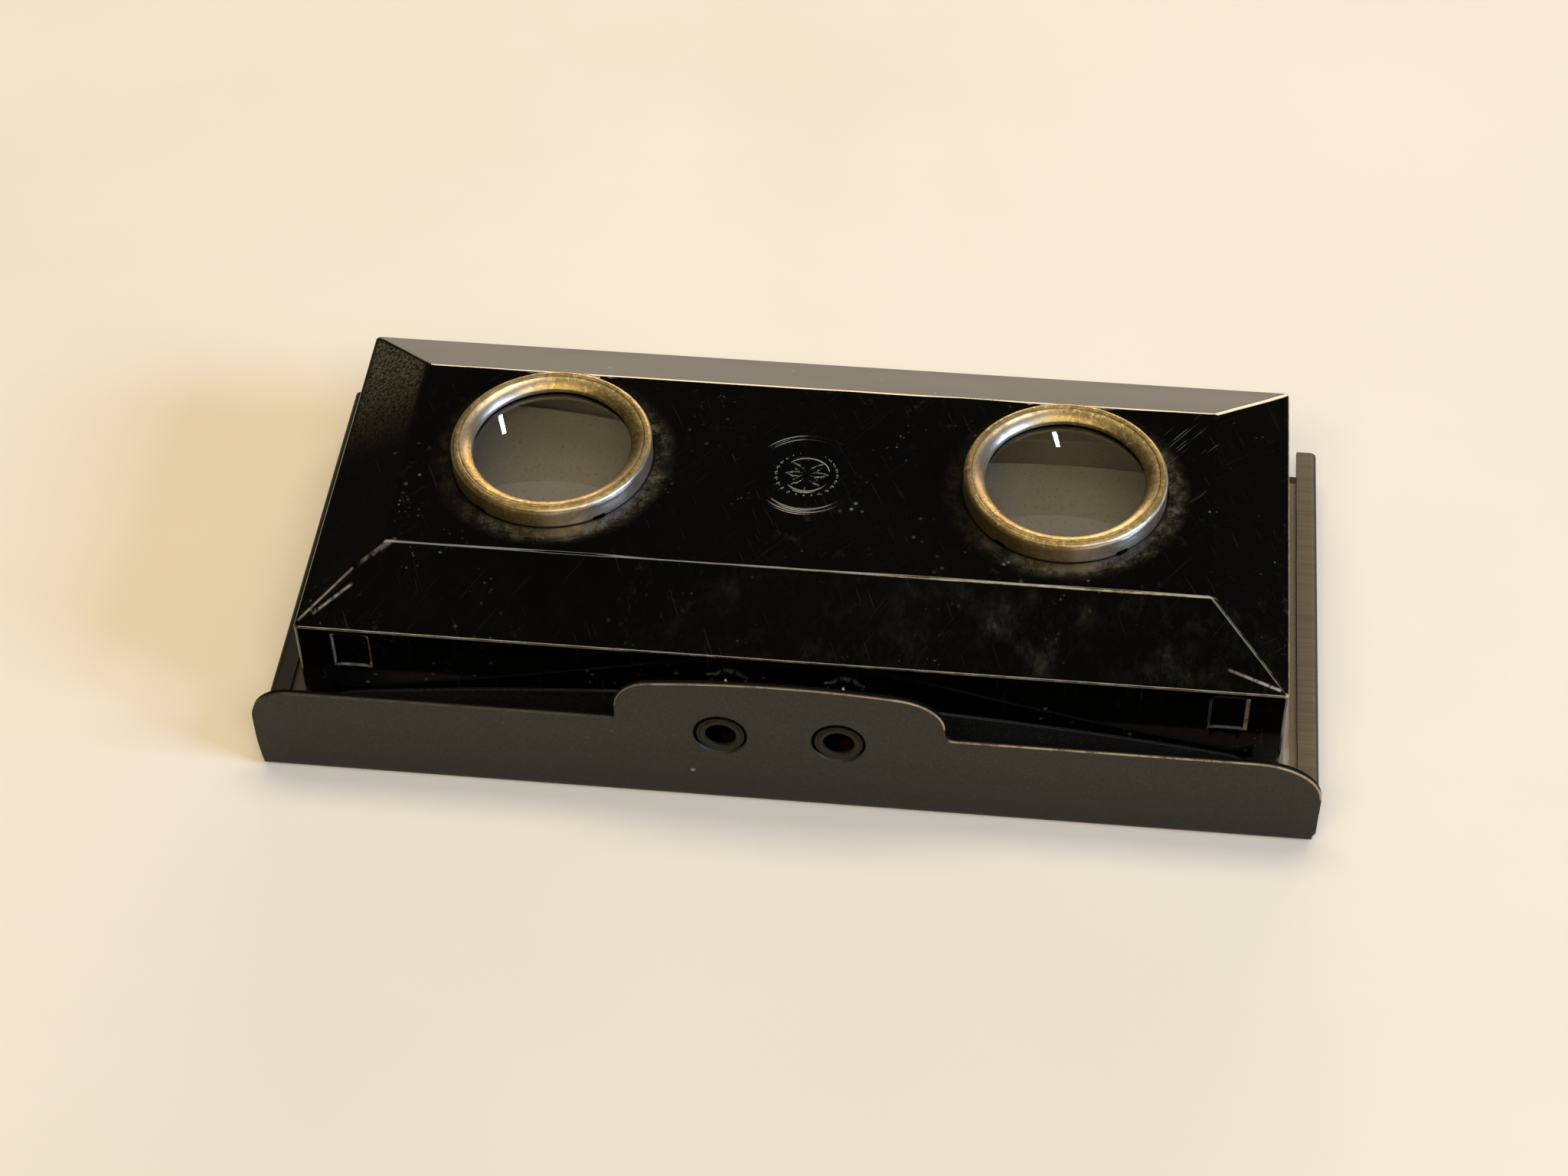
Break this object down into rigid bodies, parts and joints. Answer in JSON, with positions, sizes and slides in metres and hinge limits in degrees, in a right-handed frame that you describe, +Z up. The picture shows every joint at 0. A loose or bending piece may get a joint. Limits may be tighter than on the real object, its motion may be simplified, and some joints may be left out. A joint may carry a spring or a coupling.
{
  "type": "folding stereoscope",
  "caption": "Folding pocket stereoscope in lacquered sheet metal: a cover with two lenses rises on folding walls over a tray for a glass slide",
  "frame": {"origin": "centre of the tray on the surface that it rests on", "axes": "+X right along the two lenses, +Y from the lip to the open back edge, +Z up"},
  "size_m": [0.133, 0.0632, 0.0273],
  "materials": {
    "cover_lacquer": "glossy black stoving lacquer, scratched, worn bare along its bends",
    "tray_lacquer": "satin black-brown lacquer with a fine grain and rubbed edges",
    "frame_lacquer": "thin matte olive-black lacquer",
    "wall_lacquer": "matte grey-black lacquer of the folding walls",
    "spring_steel": "dark tempered spring steel",
    "eyelet_steel": "black eyelets, rusty inside",
    "hinge_wire": "drawn steel wire with peened heads",
    "ring_metal": "nickel plating worn through to brass in patches",
    "lens_glass": "clear polished glass",
    "ground_glass": "finely ground glass"
  },
  "bodies": {
    "base": {"tray": "tray_lacquer", "picture_frame": "frame_lacquer", "front_frame_hinge": "frame_lacquer", "back_frame_hinge": "frame_lacquer", "leaf_spring": "spring_steel", "spring_eyelets": "eyelet_steel", "spring_collars": "spring_steel", "ground_glass_left": "ground_glass", "ground_glass_right": "ground_glass", "glass_clips": "frame_lacquer", "front_base_pin": "hinge_wire", "back_base_pin": "hinge_wire"},
    "front_lower": {"front_lower_wall": "wall_lacquer", "front_middle_pin": "hinge_wire"},
    "front_upper": {"front_upper_wall": "wall_lacquer"},
    "back_lower": {"back_lower_wall": "wall_lacquer", "back_middle_pin": "hinge_wire"},
    "back_upper": {"back_upper_wall": "wall_lacquer"},
    "viewer_cover": {"cover": "cover_lacquer", "front_hinge_strip": "wall_lacquer", "back_hinge_strip": "wall_lacquer", "front_cover_pin": "hinge_wire", "back_cover_pin": "hinge_wire", "lens_ring_left": "ring_metal", "lens_ring_right": "ring_metal", "lens_left": "lens_glass", "lens_right": "lens_glass"}
  },
  "joints": [
    {"name": "front_wall_hinge", "type": "hinge", "parent": "base", "child": "front_lower", "pos_m": [0, -0.0207, 0.00715], "axis": [1, 0, 0], "range_deg": [0, 84]},
    {"name": "front_middle_hinge", "type": "hinge", "parent": "front_lower", "child": "front_upper", "pos_m": [0, 0.00782, 0.00935], "axis": [-1, 0, 0], "range_deg": [0, 168]},
    {"name": "front_cover_hinge", "type": "hinge", "parent": "front_upper", "child": "viewer_cover", "pos_m": [0, -0.0207, 0.01155], "axis": [1, 0, 0], "range_deg": [0, 84]},
    {"name": "back_wall_hinge", "type": "hinge", "parent": "base", "child": "back_lower", "pos_m": [0, 0.0251, 0.01315], "axis": [-1, 0, 0], "range_deg": [0, 84]},
    {"name": "back_middle_hinge", "type": "hinge", "parent": "back_lower", "child": "back_upper", "pos_m": [0, -0.00342, 0.01535], "axis": [1, 0, 0], "range_deg": [0, 168]}
  ],
  "couplings": [
    {"joint": "front_middle_hinge", "follows": "front_wall_hinge", "ratio": 2},
    {"joint": "front_cover_hinge", "follows": "front_wall_hinge", "ratio": 1},
    {"joint": "back_wall_hinge", "follows": "front_wall_hinge", "ratio": 1},
    {"joint": "back_middle_hinge", "follows": "front_wall_hinge", "ratio": 2}
  ]
}
